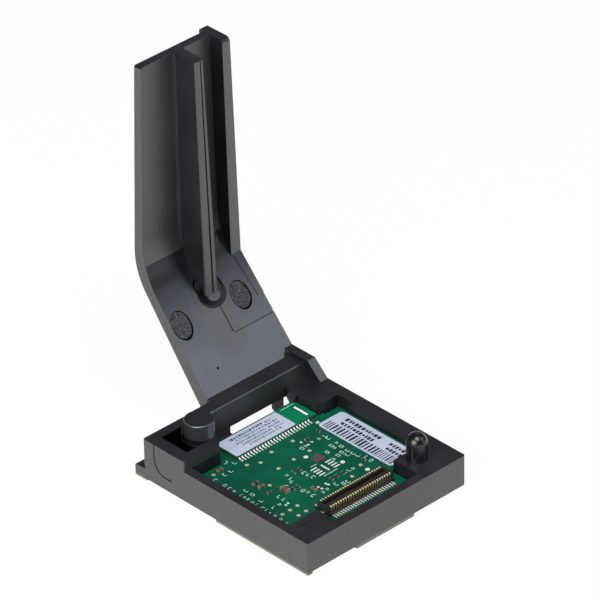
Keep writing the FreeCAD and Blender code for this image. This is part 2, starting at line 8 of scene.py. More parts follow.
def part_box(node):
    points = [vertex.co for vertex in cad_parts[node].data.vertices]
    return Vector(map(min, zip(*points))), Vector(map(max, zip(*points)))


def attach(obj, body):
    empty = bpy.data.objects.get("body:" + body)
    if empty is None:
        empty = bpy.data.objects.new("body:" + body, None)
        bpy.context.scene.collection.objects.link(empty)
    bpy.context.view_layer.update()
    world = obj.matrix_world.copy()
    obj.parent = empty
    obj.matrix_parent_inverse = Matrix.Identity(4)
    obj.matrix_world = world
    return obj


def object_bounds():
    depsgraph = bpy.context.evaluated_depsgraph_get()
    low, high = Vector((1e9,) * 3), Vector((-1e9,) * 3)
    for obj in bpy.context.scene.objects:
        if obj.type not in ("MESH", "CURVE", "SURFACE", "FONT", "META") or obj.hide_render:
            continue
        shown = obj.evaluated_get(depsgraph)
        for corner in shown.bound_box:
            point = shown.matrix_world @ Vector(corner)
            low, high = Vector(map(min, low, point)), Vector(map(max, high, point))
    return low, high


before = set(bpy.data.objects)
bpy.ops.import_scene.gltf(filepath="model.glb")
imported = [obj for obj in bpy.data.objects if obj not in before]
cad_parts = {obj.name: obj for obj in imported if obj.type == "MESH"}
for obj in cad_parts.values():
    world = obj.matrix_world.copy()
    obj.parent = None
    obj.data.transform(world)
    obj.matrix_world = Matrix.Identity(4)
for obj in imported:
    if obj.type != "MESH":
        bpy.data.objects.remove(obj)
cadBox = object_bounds()
print("frame loaded:", len(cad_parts), "nodes")

mm = 0.001
pinFoot = Vector((42.8, 7.15, 8.8))  # the frame's origin, from the tray's front left corner
boardTop = 5.5
rimTop = 8.8
padRise = 0.02  # how far pads stand over the board, and ink over what it is printed on
inkRise = 0.012


def spot(x, y, z):
    # tray millimetres, from the front left corner of the underside, to the frame's metres
    return (Vector((x, y, z)) - pinFoot) * mm


# small helpers for node materials

def addNode(mat, kind, settings=None, inputs=None):
    node = mat.node_tree.nodes.new(kind)
    for key, value in (settings or {}).items():
        setattr(node, key, value)
    for key, value in (inputs or {}).items():
        feed(mat, node.inputs[key], value)
    return node


def feed(mat, socket, value):
    if isinstance(value, bpy.types.NodeSocket):
        mat.node_tree.links.new(value, socket)
    else:
        socket.default_value = value


def mathNode(mat, operation, one, two=0.0):
    return addNode(mat, "ShaderNodeMath", {"operation": operation}, {0: one, 1: two}).outputs[0]


def above(mat, socket, limit):
    return mathNode(mat, "GREATER_THAN", socket, limit)


def below(mat, socket, limit):
    return mathNode(mat, "LESS_THAN", socket, limit)


def both(mat, one, two):
    return mathNode(mat, "MULTIPLY", one, two)


def either(mat, one, two):
    return mathNode(mat, "MAXIMUM", one, two)


def opposite(mat, mask):
    return mathNode(mat, "SUBTRACT", 1.0, mask)


def between(mat, socket, low, high):
    return both(mat, above(mat, socket, low), below(mat, socket, high))


def awayFrom(mat, socket, middle):
    return mathNode(mat, "ABSOLUTE", mathNode(mat, "SUBTRACT", socket, middle))


def apartFrom(mat, vector, centre):
    return addNode(mat, "ShaderNodeVectorMath", {"operation": "DISTANCE"},
                   {0: vector, 1: centre}).outputs["Value"]


def mixColour(mat, factor, one, two, blend="MIX"):
    node = addNode(mat, "ShaderNodeMix", {"data_type": "RGBA", "blend_type": blend})
    feed(mat, node.inputs[0], factor)
    feed(mat, node.inputs[6], one)
    feed(mat, node.inputs[7], two)
    return node.outputs[2]


def newMaterial(name):
    mat = bpy.data.materials.new(name)
    mat.use_nodes = True
    return mat, mat.node_tree.nodes["Principled BSDF"]


def place(mat, scale=(1, 1, 1)):
    coords = addNode(mat, "ShaderNodeTexCoord")
    return addNode(mat, "ShaderNodeMapping", {},
                   {"Vector": coords.outputs["Object"], "Scale": scale}).outputs[0]


def axesOf(mat, vector):
    return addNode(mat, "ShaderNodeSeparateXYZ", {}, {0: vector}).outputs


def faceAxes(mat):
    return axesOf(mat, addNode(mat, "ShaderNodeNewGeometry").outputs["Normal"])


def noise(mat, here, scale, detail, roughness):
    return addNode(mat, "ShaderNodeTexNoise", {},
                   {"Vector": here, "Scale": scale, "Detail": detail,
                    "Roughness": roughness}).outputs["Fac"]


def ramp(mat, value, stops):
    node = addNode(mat, "ShaderNodeValToRGB", {}, {0: value})
    band = node.color_ramp
    while len(band.elements) < len(stops):
        band.elements.new(0.5)
    for element, (position, colour) in zip(band.elements, stops):
        element.position = position
        element.color = colour
    return node.outputs["Color"]


def grey(value):
    return (value, value, value, 1)


def greyRamp(mat, value, low, high):
    # both stops give a position and a level
    return ramp(mat, value, [(low[0], grey(low[1])), (high[0], grey(high[1]))])


def bump(mat, height, distance, strength=1.0, under=None):
    node = addNode(mat, "ShaderNodeBump", {},
                   {"Height": height, "Distance": distance, "Strength": strength})
    if under is not None:
        feed(mat, node.inputs["Normal"], under)
    return node.outputs[0]


# carrier: glossy black plastic, coarser on the outer side faces, rough in the ejector discs; painted
# light makes its outer and raised upright faces and the post lighter, and painted shade darkens its
# hollows

carrierLook = {
    "dark": (0.0045, 0.0042, 0.0062, 1),
    "light": (0.0085, 0.0080, 0.0110, 1),
    # uprightDark and uprightLight: painted light, raised upright faces lighter than the tops
    "uprightDark": (0.016, 0.0155, 0.016, 1),
    "uprightLight": (0.026, 0.025, 0.026, 1),
    # outerDark and outerLight: painted light, the outer side faces lighter than the tops
    "outerDark": (0.010, 0.010, 0.0098, 1),
    "outerLight": (0.036, 0.036, 0.0345, 1),
    # a painted reflection of the floor: a tan band along the outer faces' bottom edge, and how high
    # it reaches
    "bounceTan": (0.15, 0.125, 0.09, 1),
    "bounceHeight": 0.5,
    # post: painted sheen, the post's sides lighter than the rest of the plastic
    "post": (0.030, 0.030, 0.034, 1),
    "worn": (0.026, 0.022, 0.018, 1),
    "scuff": (0.05, 0.05, 0.055, 1),
    "discDark": (0.001, 0.001, 0.002, 1),
    "discLight": (0.060, 0.060, 0.068, 1),
    # near black for painted shade: the disc rims, the rib's shadow beside its toe, the ring round the
    # toe and the tower's pocket; also a small speck
    "deepest": (0.002, 0.002, 0.002, 1),
    "ior": 1.6,
    "specular": {"open": 0.9, "bend": 0.3, "worn": 0.585, "inner": 0.5, "sunk": 0.25, "disc": 0.45,
                 "post": 0.9, "pin": 0.4, "ring": 0.2, "deepest": 0.02},
    "roughness": {"smooth": 0.30, "dull": 0.44, "leaning": 0.3, "inner": 0.46, "outer": 0.52,
                  "post": 0.3, "pin": 0.24},
    "cloud": 60,  # noise scales and the relief that they give
    "streak": (2300, 0.03),
    "streakDepth": 0.00005,
    "grain": 5200,
    "grainDepth": 0.000012,
    "mottle": 1900,
    "mottleDepth": 0.0002,
    "grit": 1500,
    "fleck": (2600, 0.74),
    "upright": 0.3,  # the most that an upright face looks up or down
    "across": 0.75,  # the least that a side face looks sideways
    "leaning": (0.3, 0.9),
    "trayBox": (51.9, 56.2, 0.5),  # width, depth and how deep the coarse outer finish reaches
    "handleSides": (24.5, 47.0),
    "barFace": (16.0, 41.5, 46.0),  # left, right, behind
    "postSpot": (13.85, 51.5, 4.4),  # x, y, radius
    "pinSpot": (42.8, 7.15, 2.9),
    "discs": [(24.25, 26.9), (43.6, 26.9)],  # from here on as seen from the front: x and z
    "discRadius": 2.9,
    "discRim": 2.62,
    "slopeBehind": 57.0,
    "plateDulls": (20.0, 33.0),  # the leaning plate dulls between these heights
    "plateRise": 0.65,  # height gained along the leaning plate
    "warmPatch": (34.5, 24.0, 8.0),  # a worn area round the rib's foot: x, z, radius
    # painted shadow of the rib beside its toe
    "ribShadowSpot": (34.0, 31.5, 1.9),
    "speck": (27.75, 17.05, 0.3),
    # painted shade on the flare round the rib's toe
    "toeRing": (36.3, 29.6, 1.9, 4.3),  # x, z, inner and outer radius on the plate
    "ribShade": (36.3, 2.4, 7.0),  # x, near and far: the upright plastic is darker beside the rib
    # the tower's pocket is painted near black: painted shade
    "pocket": ((3.3, 9.95), (44.4, 53.8), 11.4),  # x, y and top of the tower's pocket
}


def frontSpot(x, z):
    # a place seen from the front, its depth left out
    where = spot(x, 0, z)
    where.y = 0
    return where


def carrierMasks(mat, here):
    # where each finish lies, and the painted light and shade, by place and by the way that a face
    # looks
    look = carrierLook
    x, y, z = axesOf(mat, here)
    sideways, _, lift = faceAxes(mat)
    upright = below(mat, mathNode(mat, "ABSOLUTE", lift), look["upright"])
    across = above(mat, mathNode(mat, "ABSOLUTE", sideways), look["across"])
    # the tray's outer faces and the handle's flanks, and the upright faces inside
    wide, deep, edge = look["trayBox"]
    low, high = spot(edge, edge, 0), spot(wide - edge, deep, 0)
    inTray = below(mat, y, high.y)
    outer = either(mat, below(mat, x, low.x), below(mat, y, low.y))
    outer = either(mat, outer, above(mat, x, high.x))
    left, right = look["handleSides"]
    flank = either(mat, below(mat, x, spot(left, 0, 0).x), above(mat, x, spot(right, 0, 0).x))
    flank = both(mat, both(mat, flank, across), opposite(mat, inTray))
    outer = both(mat, either(mat, outer, flank), upright)
    inner = both(mat, upright, opposite(mat, outer))
    inner = both(mat, inner, either(mat, inTray, across))
    # the round post and pin, seen from above
    seenDown = place(mat, (1, 1, 0))
    rounded = both(mat, above(mat, z, spot(0, 0, rimTop + 0.1).z), below(mat, lift, 0.98))
    turned = []
    for axisX, axisY, radius in (look["postSpot"], look["pinSpot"]):
        centre = spot(axisX, axisY, 0)
        centre.z = 0
        near = below(mat, apartFrom(mat, seenDown, centre), radius * mm)
        turned.append(both(mat, rounded, near))
    post, pin = turned
    # marks on the leaning plate, seen from the front, with painted shade at the disc rims and by the
    # rib's toe
    seenFlat = place(mat, (1, 0, 1))
    onSlope = both(mat, above(mat, y, spot(0, look["slopeBehind"], 0).y), above(mat, lift, 0.05))
    discs, rims = 0.0, 0.0
    for discX, discZ in look["discs"]:
        apart = apartFrom(mat, seenFlat, frontSpot(discX, discZ))
        disc = below(mat, apart, look["discRadius"] * mm)
        discs = either(mat, discs, disc)
        rims = either(mat, rims, both(mat, disc, above(mat, apart, look["discRim"] * mm)))
    discs, rims = both(mat, discs, onSlope), both(mat, rims, onSlope)
    # painted shade: the disc rims, the rib's shadow by its toe, and a small speck
    deepest = rims
    for markX, markZ, radius in (look["ribShadowSpot"], look["speck"]):
        apart = apartFrom(mat, seenFlat, frontSpot(markX, markZ))
        deepest = either(mat, deepest, both(mat, onSlope, below(mat, apart, radius * mm)))
    # a ring of painted shade round the rib's toe
    ringX, ringZ, ringIn, ringOut = look["toeRing"]
    centre = frontSpot(ringX, ringZ)
    centre.z /= look["plateRise"]
    apart = apartFrom(mat, place(mat, (1, 0, 1 / look["plateRise"])), centre)
    ring = both(mat, onSlope, between(mat, apart, ringIn * mm, ringOut * mm))
    wornX, wornZ, wornRadius = look["warmPatch"]
    apart = apartFrom(mat, seenFlat, frontSpot(wornX, wornZ))
    apart = mathNode(mat, "DIVIDE", apart, wornRadius * mm)
    worn = both(mat, onSlope, opposite(mat, greyRamp(mat, apart, (0.35, 0), (1.0, 1))))
    worn = both(mat, worn, opposite(mat, discs))
    leaning = both(mat, between(mat, lift, *look["leaning"]), opposite(mat, pin))
    # upright faces over the rim and on the bar, and those that lie sunk
    start, stop, behind = look["barFace"]
    barFace = both(mat, between(mat, x, spot(start, 0, 0).x, spot(stop, 0, 0).x),
                   above(mat, y, spot(0, behind, 0).y))
    raised = either(mat, barFace, above(mat, z, spot(0, 0, rimTop).z))
    facing = both(mat, both(mat, upright, opposite(mat, across)), raised)
    sunk = both(mat, inner, either(mat, across, opposite(mat, raised)))
    # the tower's pocket, painted near black as painted shade
    (pocketLeft, pocketRight), (pocketFront, pocketBack), pocketTop = look["pocket"]
    pocket = both(mat, between(mat, x, spot(pocketLeft, 0, 0).x, spot(pocketRight, 0, 0).x),
                  between(mat, y, spot(0, pocketFront, 0).y, spot(0, pocketBack, 0).y))
    pocket = both(mat, pocket, below(mat, z, spot(0, 0, pocketTop).z))
    # soft changes: duller up the plate, darker beside the rib
    lowEnd, highEnd = look["plateDulls"]
    dulled = addNode(mat, "ShaderNodeMapRange", {},
                     {"Value": z, "From Min": spot(0, 0, lowEnd).z,
                      "From Max": spot(0, 0, highEnd).z}).outputs[0]
    ribX, near, far = look["ribShade"]
    shade = addNode(mat, "ShaderNodeMapRange", {},
                    {"Value": awayFrom(mat, x, spot(ribX, 0, 0).x), "From Min": near * mm,
                     "From Max": far * mm, "To Min": 0.5, "To Max": 1.0}).outputs[0]
    # painted reflection of the floor along the bottom edge
    bounceEdge = below(mat, z, spot(0, 0, look["bounceHeight"]).z)
    return {"outer": outer, "inner": inner, "sunk": sunk, "facing": facing, "leaning": leaning,
            "post": post, "pin": pin, "discs": discs, "ring": ring, "worn": worn,
            "deepest": either(mat, deepest, pocket), "dulled": dulled, "shade": shade,
            "bounceEdge": bounceEdge}


def carrierPlastic():
    look = carrierLook
    mat, shader = newMaterial("carrierPlastic")
    here = place(mat)
    on = carrierMasks(mat, here)
    # colour
    cloud = noise(mat, here, look["cloud"], 4, 0.6)
    colour = ramp(mat, cloud, [(0.3, look["dark"]), (0.7, look["light"])])
    fine, squeeze = look["streak"]
    streaks = noise(mat, place(mat, (1, squeeze, squeeze)), fine, 2, 0.5)
    drag = greyRamp(mat, streaks, (0.35, 0.55), (0.65, 1.6))
    colour = mixColour(mat, 0.6, colour, drag, "MULTIPLY")
    # raised upright faces are painted lighter as painted light, and darker towards the rib as painted
    # shade
    drawn = ramp(mat, cloud, [(0.3, look["uprightDark"]), (0.7, look["uprightLight"])])
    drawn = mixColour(mat, on["shade"], look["dark"], drawn)
    colour = mixColour(mat, on["facing"], colour, drawn)
    # the post's sides painted lighter: painted sheen
    colour = mixColour(mat, on["post"], colour, look["post"])
    colour = mixColour(mat, on["pin"], colour, look["dark"])
    # the outer side faces are painted lighter: painted light
    grit = noise(mat, here, look["grit"], 4, 0.7)
    paintedLitOuter = ramp(mat, grit, [(0.3, look["outerDark"]), (0.7, look["outerLight"])])
    # a tan band at the bottom edge: painted reflection of the floor
    paintedLitOuter = mixColour(mat, on["bounceEdge"], paintedLitOuter, look["bounceTan"])
    colour = mixColour(mat, on["outer"], colour, paintedLitOuter)
    fleckScale, fleckFrom = look["fleck"]
    flecks = above(mat, noise(mat, here, fleckScale, 2, 0.5), fleckFrom)
    colour = mixColour(mat, flecks, colour, look["scuff"])
    mottle = noise(mat, here, look["mottle"], 3, 0.7)
    speckle = ramp(mat, mottle, [(0.44, look["discDark"]), (0.64, look["discLight"])])
    colour = mixColour(mat, on["discs"], colour, speckle)
    colour = mixColour(mat, on["worn"], colour, look["worn"])
    # painted shade, near black: disc rims, the rib's shadow, the toe's ring and the pocket, with a
    # small speck
    colour = mixColour(mat, either(mat, on["deepest"], on["ring"]), colour, look["deepest"])
    feed(mat, shader.inputs["Base Color"], colour)
    # gloss
    level = look["roughness"]
    rough = greyRamp(mat, cloud, (0.25, level["smooth"]), (0.75, level["dull"]))
    for mask, finish in ((on["leaning"], "leaning"), (on["inner"], "inner"),
                         (either(mat, on["outer"], on["discs"]), "outer"), (on["post"], "post"),
                         (on["pin"], "pin")):
        rough = mixColour(mat, mask, rough, grey(level[finish]))
    feed(mat, shader.inputs["Roughness"], rough)
    shine = look["specular"]
    gloss = grey(shine["open"])
    for mask, finish in ((both(mat, on["leaning"], on["dulled"]), "bend"),
                         (both(mat, on["worn"], opposite(mat, on["dulled"])), "worn"),
                         (on["inner"], "inner"), (on["sunk"], "sunk"), (on["discs"], "disc"),
                         (on["post"], "post"), (on["pin"], "pin"), (on["ring"], "ring"),
                         (on["deepest"], "deepest")):
        gloss = mixColour(mat, mask, gloss, grey(shine[finish]))
    feed(mat, shader.inputs["Specular IOR Level"], gloss)
    shader.inputs["IOR"].default_value = look["ior"]
    # drag lines run up the leaning plate, grain lies over everything
    first = bump(mat, streaks, look["streakDepth"])
    second = bump(mat, noise(mat, here, look["grain"], 3, 0.6), look["grainDepth"], 0.8, first)
    third = bump(mat, mottle, look["mottleDepth"], 1.0, second)
    relief = addNode(mat, "ShaderNodeMix", {"data_type": "VECTOR"})
    feed(mat, relief.inputs[0], on["discs"])
    feed(mat, relief.inputs[4], second)
    feed(mat, relief.inputs[5], third)
    feed(mat, shader.inputs["Normal"], relief.outputs[1])
    return mat


# boards: green lacquer over copper, bare laminate at the edges

boardLook = {
    "mask": (0.0, 0.080, 0.042, 1),
    "maskDark": (0.0, 0.062, 0.035, 1),
    "trace": (0.0, 0.115, 0.060, 1),
    "antennaMask": (0.0, 0.150, 0.060, 1),
    "antennaDark": (0.0, 0.115, 0.05, 1),
    "laminate": (0.025, 0.045, 0.024, 1),
    "roughness": 0.40,
    "specular": 0.3,
    "pour": 110,
    "weave": (520, 1.5, 0.000006),  # scale, distortion and depth
}


def lacquer(name, bright, dark):
    look = boardLook
    mat, shader = newMaterial(name)
    here = place(mat)
    pour = ramp(mat, noise(mat, here, look["pour"], 3, 0.5), [(0.42, dark), (0.58, bright)])
    flat = above(mat, mathNode(mat, "ABSOLUTE", faceAxes(mat)[2]), 0.5)
    feed(mat, shader.inputs["Base Color"], mixColour(mat, flat, look["laminate"], pour))
    shader.inputs["Roughness"].default_value = look["roughness"]
    shader.inputs["Specular IOR Level"].default_value = look["specular"]
    scale, distortion, depth = look["weave"]
    weave = addNode(mat, "ShaderNodeTexWave", {"wave_type": "BANDS", "bands_direction": "DIAGONAL"},
                    {"Vector": here, "Scale": scale, "Distortion": distortion})
    feed(mat, shader.inputs["Normal"], bump(mat, weave.outputs["Fac"], depth, 0.5))
    return mat


# metals

metalLook = {
    "gold": (1.0, 0.84, 0.50, 1),
    "goldPale": (0.86, 0.68, 0.34, 1),
    # below the shoulder the gold is painted darker: painted shade on the upright faces
    "shadedGoldDark": (0.16, 0.115, 0.035, 1),
    "shadedGoldLight": (0.26, 0.19, 0.065, 1),
    # painted shade in the trough between the two rows
    "goldShade": (0.05, 0.035, 0.02, 1),
    "tailTin": (0.78, 0.78, 0.72, 1),
    # painted shade on the contacts' sides, in the gaps between them
    "flank": (0.035, 0.03, 0.016, 1),
    "joint": (0.72, 0.74, 0.70, 1),
    # painted shade on the joints' steep sides, between the joints
    "jointGapShade": (0.012, 0.03, 0.016, 1),
    "tin": (0.88, 0.90, 0.88, 1),
    "tanPad": (0.40, 0.36, 0.25, 1),
    # pale tin for the painted highlight on the vias
    "highlightPad": (0.70, 0.67, 0.55, 1),
    "tails": (8.02, 11.96, 0.35),  # y at the wall's front and back, and their thickness
    "shoulder": 7.55,
    "middle": 10.0,
    "capInner": 1.42,
}


def platedContacts():
    # gold over the wall, bright tin on the tails that stand out on the board; painted shade below the
    # shoulder, in the trough and on the sides
    look = metalLook
    mat, shader = newMaterial("platedContacts")
    here = place(mat)
    _, y, z = axesOf(mat, here)
    capped = above(mat, z, spot(0, 0, look["shoulder"]).z)
    wallFront, wallBack, thick = look["tails"]
    tail = either(mat, below(mat, y, spot(0, wallFront, 0).y), above(mat, y, spot(0, wallBack, 0).y))
    tail = both(mat, tail, below(mat, z, spot(0, 0, boardTop + thick).z))
    wear = noise(mat, here, 1800, 2, 0.5)
    bright = ramp(mat, wear, [(0.25, look["goldPale"]), (0.6, look["gold"])])
    # painted shade: gold below the shoulder darker than the tops
    dull = ramp(mat, wear, [(0.3, look["shadedGoldDark"]), (0.7, look["shadedGoldLight"])])
    inner = below(mat, awayFrom(mat, y, spot(0, look["middle"], 0).y), look["capInner"] * mm)
    gold = mixColour(mat, capped, dull, bright)
    gold = mixColour(mat, inner, gold, look["goldShade"])
    # sides of each contact painted dark: painted shade in the gaps
    flank = above(mat, mathNode(mat, "ABSOLUTE", faceAxes(mat)[0]), 0.6)
    metal = mixColour(mat, tail, gold, look["tailTin"])
    feed(mat, shader.inputs["Base Color"], mixColour(mat, flank, metal, look["flank"]))
    shader.inputs["Metallic"].default_value = 0.5
    feed(mat, shader.inputs["Roughness"], greyRamp(mat, wear, (0.2, 0.26), (0.9, 0.42)))
    feed(mat, shader.inputs["Normal"], bump(mat, wear, 0.00001, 0.5))
    return mat


def solder(name, colour, rough, flank=None):
    mat, shader = newMaterial(name)
    cloud = noise(mat, place(mat), 2400, 3, 0.6)
    dull = tuple(part * 0.8 for part in colour[:3]) + (1,)
    metal = ramp(mat, cloud, [(0.3, dull), (0.7, colour)])
    # steep sides get a dark colour: painted shade between the joints
    if flank is not None:
        steep = above(mat, mathNode(mat, "ABSOLUTE", faceAxes(mat)[0]), 0.25)
        metal = mixColour(mat, steep, metal, flank)
    feed(mat, shader.inputs["Base Color"], metal)
    shader.inputs["Metallic"].default_value = 0.3
    feed(mat, shader.inputs["Roughness"],
         greyRamp(mat, cloud, (0.2, rough - 0.08), (0.8, rough + 0.1)))
    feed(mat, shader.inputs["Normal"], bump(mat, cloud, 0.00002, 0.7))
    return mat


# plain finishes with a little life in them: two colours, roughness, noise scale, depth, specular

plainLook = {
    "connectorBlack": ((0.010, 0.009, 0.011, 1), (0.020, 0.018, 0.021, 1), 0.42, 900, 0.000006, 0.5),
    "labelPaper": ((0.37, 0.41, 0.51, 1), (0.43, 0.47, 0.58, 1), 0.5, 300, 0.000004, 0.5),
    "chipEpoxy": ((0.045, 0.040, 0.045, 1), (0.075, 0.068, 0.072, 1), 0.5, 2500, 0.00001, 0.5),
    "printInk": ((0.012, 0.012, 0.018, 1), (0.03, 0.03, 0.04, 1), 0.6, 2000, 0.000002, 0.2),
    "greyInk": ((0.07, 0.085, 0.14, 1), (0.12, 0.135, 0.20, 1), 0.6, 2000, 0.000002, 0.5),
    "silkInk": ((0.42, 0.60, 0.53, 1), (0.62, 0.78, 0.72, 1), 0.6, 2000, 0.000002, 0.5),
    "whiteInk": ((0.80, 0.82, 0.80, 1), (0.88, 0.90, 0.87, 1), 0.5, 1500, 0.000002, 0.5),
}


def plainFinish(name):
    dark, light, rough, scale, depth, specular = plainLook[name]
    mat, shader = newMaterial(name)
    cloud = noise(mat, place(mat), scale, 4, 0.6)
    feed(mat, shader.inputs["Base Color"], ramp(mat, cloud, [(0.3, dark), (0.7, light)]))
    feed(mat, shader.inputs["Roughness"],
         greyRamp(mat, cloud, (0.2, rough - 0.05), (0.8, rough + 0.08)))
    shader.inputs["Specular IOR Level"].default_value = specular
    feed(mat, shader.inputs["Normal"], bump(mat, cloud, depth, 0.6))
    return mat


# chip components: ceramic between two tinned caps, by distance along the chip

chipLook = {
    "capacitor": ((0.07, 0.045, 0.03, 1), (0.125, 0.085, 0.058, 1)),
    "resistor": ((0.012, 0.011, 0.014, 1), (0.035, 0.028, 0.032, 1)),
    "dark": ((0.025, 0.018, 0.015, 1), (0.06, 0.042, 0.033, 1)),
    "endCap": ((0.26, 0.23, 0.17, 1), (0.52, 0.48, 0.38, 1)),
    "capShare": 0.18,
    "darkOnes": ("capacitor_a", "capacitor_c", "capacitor_e", "capacitor_f", "capacitor_g",
                 "capacitor_i"),
}


def chipFinish(node, kind):
    look = chipLook
    low, high = (Vector(corner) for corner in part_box(node))
    size = high - low
    axis = 0 if size.x > size.y else 1
    middle = (low + high) / 2
    mat, shader = newMaterial("finish_" + node)
    here = place(mat)
    off = awayFrom(mat, axesOf(mat, here)[axis], middle[axis])
    cap = above(mat, off, size[axis] * (0.5 - look["capShare"]))
    cloud = noise(mat, here, 3000, 3, 0.6)
    ceramic = ramp(mat, cloud, [(0.3, look[kind][0]), (0.7, look[kind][1])])
    tinned = ramp(mat, cloud, [(0.3, look["endCap"][0]), (0.7, look["endCap"][1])])
    feed(mat, shader.inputs["Base Color"], mixColour(mat, cap, ceramic, tinned))
    feed(mat, shader.inputs["Metallic"], both(mat, cap, 0.6))
    feed(mat, shader.inputs["Roughness"], greyRamp(mat, cloud, (0.2, 0.3), (0.8, 0.45)))
    feed(mat, shader.inputs["Normal"], bump(mat, cloud, 0.00001, 0.6))
    return mat


plastic = carrierPlastic()
greenLacquer = lacquer("greenLacquer", boardLook["mask"], boardLook["maskDark"])
traceLacquer = lacquer("traceLacquer", boardLook["trace"], boardLook["mask"])
moduleLacquer = lacquer("moduleLacquer", boardLook["antennaMask"], boardLook["antennaDark"])
plated = platedContacts()
brightTin = solder("brightTin", metalLook["tin"], 0.35)
jointTin = solder("jointTin", metalLook["joint"], 0.4, metalLook["jointGapShade"])
tanSolder = solder("tanSolder", metalLook["tanPad"], 0.5)
highlightSolder = solder("highlightSolder", metalLook["highlightPad"], 0.5)
plain = {name: plainFinish(name) for name in plainLook}

nodeFinish = {
    "carrier": plastic,
    "circuit_board": greenLacquer,
    "connector_housing": plain["connectorBlack"],
    "connector_contacts_front": plated,
    "connector_contacts_back": plated,
    "connector_end_tabs": brightTin,
    "radio_module_board": moduleLacquer,
    "radio_label": plain["labelPaper"],
    "radio_solder_joints": jointTin,
    "barcode_label": plain["labelPaper"],
    "controller_chip": plain["chipEpoxy"],
}
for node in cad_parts:
    if node.startswith("capacitor_"):
        nodeFinish[node] = chipFinish(node, "dark" if node in chipLook["darkOnes"] else "capacitor")
    if node.startswith("resistor_"):
        nodeFinish[node] = chipFinish(node, "resistor")
for node, mat in nodeFinish.items():
    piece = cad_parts[node]
    for slot in piece.material_slots:
        slot.material = mat
    if not piece.material_slots:
        piece.data.materials.append(mat)
print("materials set on", len(nodeFinish), "nodes")


# flat print and pads: thin raised patches on the board and labels

def patch(work, x, y, z, width, depth, turn=0.0, rise=padRise):
    # a thin flat block in tray millimetres, its middle at x, y, its foot at z
    where = (Matrix.Translation(spot(x, y, z)) @ Matrix.Rotation(math.radians(turn), 4, "Z")
             @ Matrix.Diagonal((width * mm, depth * mm, 1, 1)))
    made = bmesh.ops.create_grid(work, x_segments=1, y_segments=1, size=0.5, matrix=where)
    raiseUp(work, made["verts"], rise)


def dot(work, x, y, z, radius):
    made = bmesh.ops.create_circle(work, cap_ends=True, segments=20, radius=radius * mm,
                                   matrix=Matrix.Translation(spot(x, y, z)))
    raiseUp(work, made["verts"], padRise)


def raiseUp(work, corners, rise):
    faces = list({face for vert in corners for face in vert.link_faces})
    lifted = bmesh.ops.extrude_face_region(work, geom=faces, use_keep_orig=True)
    tops = [item for item in lifted["geom"] if isinstance(item, bmesh.types.BMVert)]
    bmesh.ops.translate(work, verts=tops, vec=(0, 0, rise * mm))


def addPiece(name, work, mat):
    data = bpy.data.meshes.new(name)
    work.to_mesh(data)
    work.free()
    data.materials.append(mat)
    piece = bpy.data.objects.new(name, data)
    bpy.context.scene.collection.objects.link(piece)
    return piece


def finishPiece(name, work, mat):
    bmesh.ops.recalc_face_normals(work, faces=work.faces)
    piece = addPiece(name, work, mat)
    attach(piece, "root")


# vias and round pads, with a painted highlight on each via

padSpots = {
    "vias": [(30.5, 36.8), (23.7, 37.0), (18.8, 35.6), (15.8, 37.2), (20.1, 30.8), (25.3, 31.0),
             (30.5, 31.0), (7.4, 39.8), (13.8, 27.2), (12.6, 16.5), (10.1, 16.4), (12.5, 13.5),
             (7.6, 16.4), (10.0, 13.4), (34.9, 18.1), (30.1, 16.1)],
    "viaRadius": 0.54,
    "viaHighlight": (0.24, -0.08, 0.06),  # painted highlight on each via: radius, and how far off the via's own middle
    "testPads": [(28.0, 29.7), (32.7, 22.0), (34.7, 15.6)],
    "testRadius": 0.6,
    "smallPads": [(21.4, 18.6), (23.6, 18.3), (21.5, 17.5), (23.8, 17.6), (11.7, 18.8), (10.8, 18.6),
                  (31.5, 35.0), (32.05, 33.0)],
    "smallPad": (0.55, 0.6),
    "widePads": [(40.2, 38.3, 0.9, 0.7)],
}
work = bmesh.new()
for x, y in padSpots["vias"]:
    dot(work, x, y, boardTop, padSpots["viaRadius"])
finishPiece("solder_vias", work, tanSolder)
# a small pale dot on each via, off its middle: painted highlight
work = bmesh.new()
radius, offX, offY = padSpots["viaHighlight"]
for x, y in padSpots["vias"]:
    dot(work, x + offX, y + offY, boardTop + padRise, radius)
finishPiece("via_highlights", work, highlightSolder)
work = bmesh.new()
for x, y in padSpots["testPads"]:
    dot(work, x, y, boardTop, padSpots["testRadius"])
for x, y in padSpots["smallPads"]:
    patch(work, x, y, boardTop, *padSpots["smallPad"])
for x, y, width, depth in padSpots["widePads"]:
    patch(work, x, y, boardTop, width, depth)
finishPiece("test_pads", work, brightTin)

# copper traces that show through the lacquer: start x and y, then each leg's length and direction

traces = {
    "width": 0.13,
    "rise": 0.008,
    "runs": [((19.3, 34.9), [(4.0, -45), (6.0, 0)]), ((16.4, 36.6), [(5.0, -90), (4.4, -45)]),
             ((24.0, 36.2), [(3.0, -45), (3.6, 0)]), ((8.2, 38.8), [(6.0, -45), (5.5, -90)]),
             ((20.9, 30.4), [(3.4, -45), (3.0, 0)]), ((26.0, 30.6), [(2.2, -45), (2.6, -90)]),
             ((31.2, 36.4), [(3.2, -45), (2.4, -90)]), ((14.4, 26.6), [(3.0, -45), (4.6, 0)]),
             ((34.3, 20.8), [(2.6, -90), (1.8, -45)]), ((13.2, 17.0), [(3.4, 45), (2.2, 90)]),
             ((10.6, 13.9), [(2.4, 45), (5.0, 90)]), ((29.2, 26.9), [(2.4, 45), (2.8, 0)]),
             ((22.8, 20.9), [(2.6, 45), (2.4, 90)]), ((17.2, 31.6), [(2.6, -90), (2.8, -45)])],
}
work = bmesh.new()
